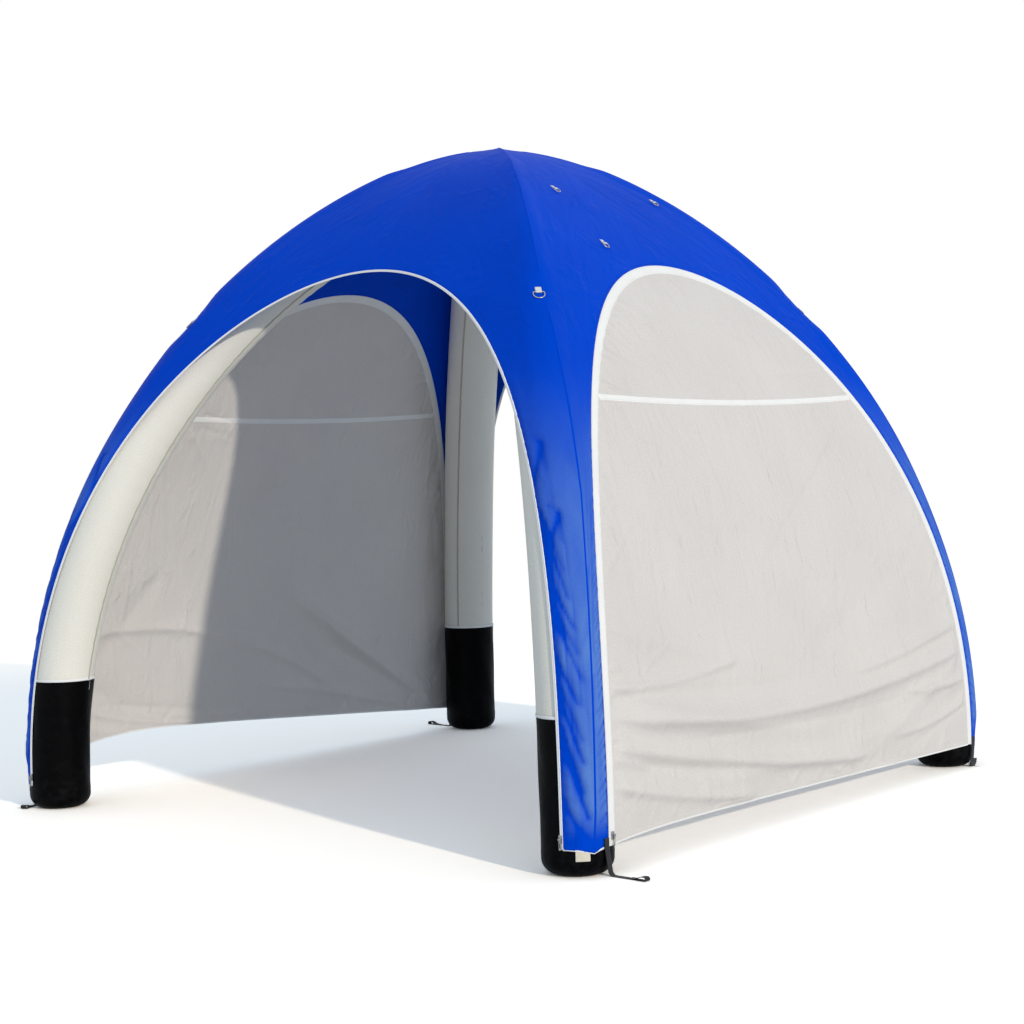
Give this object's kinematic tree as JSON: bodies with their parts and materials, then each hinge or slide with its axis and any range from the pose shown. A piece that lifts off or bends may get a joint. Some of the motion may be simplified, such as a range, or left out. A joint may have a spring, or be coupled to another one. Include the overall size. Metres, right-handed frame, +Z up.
{
  "type": "inflatable tent",
  "caption": "Inflatable dome tent on crossed air beams: sewn roof, zip-in side walls, open doorways, tie rings, anchor straps and an inflation valve.",
  "frame": {"origin": "on the ground under the crown, at the bottom centre of the bounding box", "axes": "+Z up; the doorways face -Y and +Y; the zip-in walls close the -X and +X sides"},
  "size_m": [3.294, 2.9984, 2.7199],
  "materials": {
    "roof_cloth": "woven polyester, royal blue, satin coated",
    "wall_cloth": "woven polyester, pale warm grey",
    "sleeve_cloth": "coated polyester, ivory",
    "foot_vinyl": "coated vinyl tarpaulin, black",
    "white_tape": "woven binding tape and zip tape, white",
    "black_webbing": "woven webbing, black",
    "loop_patch": "hook-and-loop, beige",
    "bladder_film": "clear polyurethane film",
    "plated_steel": "nickel-plated steel",
    "valve_black": "moulded, black",
    "valve_white": "moulded, white"
  },
  "bodies": {
    "tent": {"air_bladder": "bladder_film", "anchor_strap_back_left": "black_webbing", "anchor_strap_back_right": "black_webbing", "anchor_strap_front_left": "black_webbing", "anchor_strap_front_right": "black_webbing", "door_zip_back": "white_tape", "door_zip_front": "white_tape", "foot_cover_back_left": "foot_vinyl", "foot_cover_back_right": "foot_vinyl", "foot_cover_front_left": "foot_vinyl", "foot_cover_front_right": "foot_vinyl", "foot_patch": "loop_patch", "leg_sleeve_back_left": "sleeve_cloth", "leg_sleeve_back_right": "sleeve_cloth", "leg_sleeve_front_left": "sleeve_cloth", "leg_sleeve_front_right": "sleeve_cloth", "ridge_tab_back_left": "white_tape", "ridge_tab_back_right": "white_tape", "ridge_tab_front_left": "white_tape", "ridge_tab_front_right": "white_tape", "roof_panel_back": "roof_cloth", "roof_panel_front": "roof_cloth", "roof_panel_left": "roof_cloth", "roof_panel_right": "roof_cloth", "roof_tab_back": "white_tape", "roof_tab_front_high": "white_tape", "roof_tab_front_low": "white_tape", "valve_body": "valve_black"},
    "right_wall": {"wall_right_edge_band": "white_tape", "wall_right_hem": "white_tape", "wall_right_lower": "wall_cloth", "wall_right_seam_tape": "white_tape", "wall_right_upper": "wall_cloth"},
    "left_wall": {"wall_left_edge_band": "white_tape", "wall_left_hem": "white_tape", "wall_left_lower": "wall_cloth", "wall_left_seam_tape": "white_tape", "wall_left_upper": "wall_cloth"},
    "slider_front_right": {"zip_slider_front_right": "plated_steel"},
    "pull_front_right": {"zip_pull_front_right": "plated_steel"},
    "slider_front_left": {"zip_slider_front_left": "plated_steel"},
    "pull_front_left": {"zip_pull_front_left": "plated_steel"},
    "slider_back_right": {"zip_slider_back_right": "plated_steel"},
    "pull_back_right": {"zip_pull_back_right": "plated_steel"},
    "slider_back_left": {"zip_slider_back_left": "plated_steel"},
    "pull_back_left": {"zip_pull_back_left": "plated_steel"},
    "slider_wall_right": {"zip_slider_wall_right": "plated_steel"},
    "pull_wall_right": {"zip_pull_wall_right": "plated_steel"},
    "slider_wall_left": {"zip_slider_wall_left": "plated_steel"},
    "pull_wall_left": {"zip_pull_wall_left": "plated_steel"},
    "ring_front_right": {"ridge_ring_front_right": "plated_steel"},
    "ring_back_right": {"ridge_ring_back_right": "plated_steel"},
    "ring_back_left": {"ridge_ring_back_left": "plated_steel"},
    "ring_front_left": {"ridge_ring_front_left": "plated_steel"},
    "ring_roof_front_low": {"roof_ring_front_low": "plated_steel"},
    "ring_roof_front_high": {"roof_ring_front_high": "plated_steel"},
    "ring_roof_back": {"roof_ring_back": "plated_steel"},
    "cap": {"valve_cap": "valve_black"},
    "plunger": {"valve_plunger": "valve_white"}
  },
  "joints": [
    {"name": "right_wall_lift_off", "type": "slide", "parent": "tent", "child": "right_wall", "axis": [1, 0, 0], "range_m": [0, 0.6]},
    {"name": "left_wall_lift_off", "type": "slide", "parent": "tent", "child": "left_wall", "axis": [-1, 0, 0], "range_m": [0, 0.6]},
    {"name": "slider_run_front_right", "type": "slide", "parent": "tent", "child": "slider_front_right", "axis": [0, 0, 1], "range_m": [0, 0.25]},
    {"name": "pull_swing_front_right", "type": "hinge", "parent": "slider_front_right", "child": "pull_front_right", "pos_m": [1.38058, -1.48713, 0.135], "axis": [-0.9808, -0.1951, 0], "range_deg": [0, 150]},
    {"name": "slider_run_front_left", "type": "slide", "parent": "tent", "child": "slider_front_left", "axis": [0, 0, 1], "range_m": [0, 0.25]},
    {"name": "pull_swing_front_left", "type": "hinge", "parent": "slider_front_left", "child": "pull_front_left", "pos_m": [-1.38058, -1.48713, 0.135], "axis": [-0.9808, 0.1951, 0], "range_deg": [0, 150]},
    {"name": "slider_run_back_right", "type": "slide", "parent": "tent", "child": "slider_back_right", "axis": [0, 0, 1], "range_m": [0, 0.25]},
    {"name": "pull_swing_back_right", "type": "hinge", "parent": "slider_back_right", "child": "pull_back_right", "pos_m": [1.38058, 1.48713, 0.135], "axis": [0.9808, -0.1951, 0], "range_deg": [0, 150]},
    {"name": "slider_run_back_left", "type": "slide", "parent": "tent", "child": "slider_back_left", "axis": [0, 0, 1], "range_m": [0, 0.25]},
    {"name": "pull_swing_back_left", "type": "hinge", "parent": "slider_back_left", "child": "pull_back_left", "pos_m": [-1.38058, 1.48713, 0.135], "axis": [0.9808, 0.1951, 0], "range_deg": [0, 150]},
    {"name": "slider_run_wall_right", "type": "slide", "parent": "right_wall", "child": "slider_wall_right", "axis": [0, 0, 1], "range_m": [0, 0.25]},
    {"name": "pull_swing_wall_right", "type": "hinge", "parent": "slider_wall_right", "child": "pull_wall_right", "pos_m": [1.49425, -1.333, 0.135], "axis": [0, -1, 0], "range_deg": [0, 150]},
    {"name": "slider_run_wall_left", "type": "slide", "parent": "left_wall", "child": "slider_wall_left", "axis": [0, 0, 1], "range_m": [0, 0.25]},
    {"name": "pull_swing_wall_left", "type": "hinge", "parent": "slider_wall_left", "child": "pull_wall_left", "pos_m": [-1.49425, 1.333, 0.135], "axis": [0, 1, 0], "range_deg": [0, 150]},
    {"name": "ring_swing_front_right", "type": "hinge", "parent": "tent", "child": "ring_front_right", "pos_m": [0.92065, -0.92065, 2.01308], "axis": [-0.7071, -0.7071, 0], "range_deg": [0, 150]},
    {"name": "ring_swing_back_right", "type": "hinge", "parent": "tent", "child": "ring_back_right", "pos_m": [0.92065, 0.92065, 2.01308], "axis": [0.7071, -0.7071, 0], "range_deg": [0, 150]},
    {"name": "ring_swing_back_left", "type": "hinge", "parent": "tent", "child": "ring_back_left", "pos_m": [-0.92065, 0.92065, 2.01308], "axis": [0.7071, 0.7071, 0], "range_deg": [0, 150]},
    {"name": "ring_swing_front_left", "type": "hinge", "parent": "tent", "child": "ring_front_left", "pos_m": [-0.92065, -0.92065, 2.01308], "axis": [-0.7071, 0.7071, 0], "range_deg": [0, 150]},
    {"name": "ring_swing_roof_front_low", "type": "hinge", "parent": "tent", "child": "ring_roof_front_low", "pos_m": [0.77786, -0.30222, 2.23874], "axis": [0, -1, 0], "range_deg": [0, 150]},
    {"name": "ring_swing_roof_front_high", "type": "hinge", "parent": "tent", "child": "ring_roof_front_high", "pos_m": [0.53191, -0.28617, 2.47847], "axis": [0, -1, 0], "range_deg": [0, 150]},
    {"name": "ring_swing_roof_back", "type": "hinge", "parent": "tent", "child": "ring_roof_back", "pos_m": [0.53827, 0.39574, 2.47303], "axis": [0, -1, 0], "range_deg": [0, 150]},
    {"name": "cap_hinge", "type": "hinge", "parent": "tent", "child": "cap", "pos_m": [1.19163, -1.19163, 0.80253], "axis": [0.7071, 0.7071, 0], "range_deg": [0, 150]},
    {"name": "plunger_press", "type": "slide", "parent": "tent", "child": "plunger", "axis": [0.6906, -0.6906, 0.2149], "range_m": [0, 0.005], "stiffness_N_per_m": 300, "springref_m": -0.003}
  ]
}
